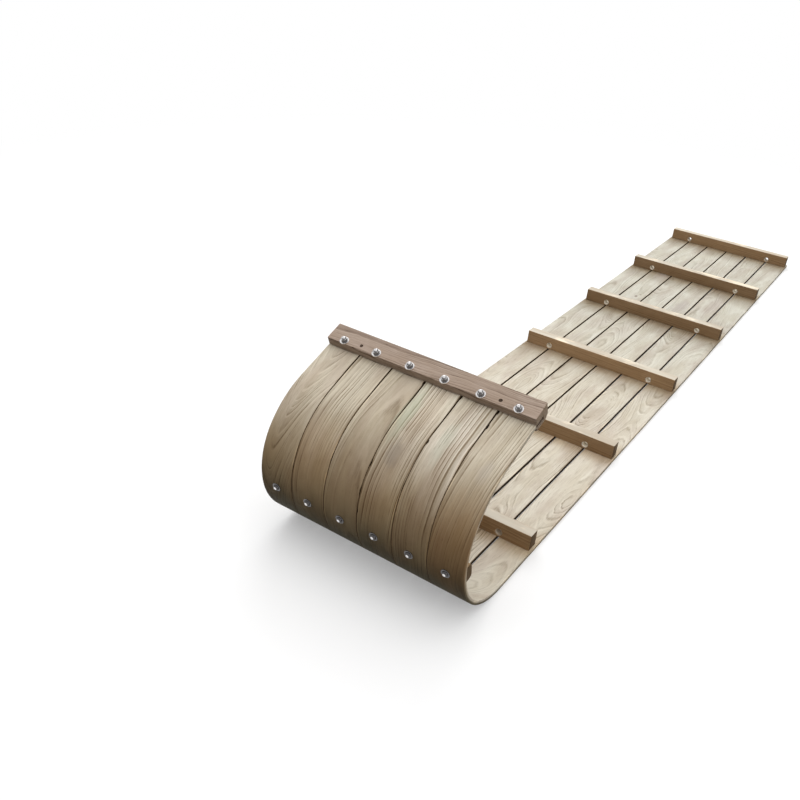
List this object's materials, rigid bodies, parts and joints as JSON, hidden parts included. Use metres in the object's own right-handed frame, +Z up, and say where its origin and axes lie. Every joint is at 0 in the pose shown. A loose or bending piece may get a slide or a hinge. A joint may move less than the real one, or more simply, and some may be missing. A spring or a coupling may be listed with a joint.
{
  "type": "wooden toboggan",
  "caption": "Flat-bottomed wooden snow sled: bent slats that curl up and back at the nose, cross battens with rope holes, and a grooved headpiece bolted over the slat ends.",
  "frame": {"origin": "on the floor, under the middle of the overall box", "axes": "+X forward to the curled nose, +Y to the rider's left, +Z up"},
  "size_m": [2.1556, 0.3956, 0.3352],
  "materials": {
    "slats": "open-grained hardwood, thin matt oil",
    "battens": "planed hardwood, thin matt oil",
    "headpiece": "planed dark hardwood, thin satin oil",
    "bolts": "bright zinc plating",
    "screws": "dull zinc plating"
  },
  "bodies": {
    "root": {"slat_1": "slats", "slat_2": "slats", "slat_3": "slats", "slat_4": "slats", "slat_5": "slats", "slat_6": "slats", "cross_batten_1": "battens", "cross_batten_2": "battens", "cross_batten_3": "battens", "cross_batten_4": "battens", "cross_batten_5": "battens", "cross_batten_6": "battens", "nose_batten": "battens", "headpiece": "headpiece", "nose_bolts": "bolts", "nose_washers": "bolts", "nose_nuts": "bolts", "headpiece_bolts": "bolts", "headpiece_washers": "bolts", "headpiece_nuts": "bolts", "deck_screws": "screws"}
  },
  "joints": []
}
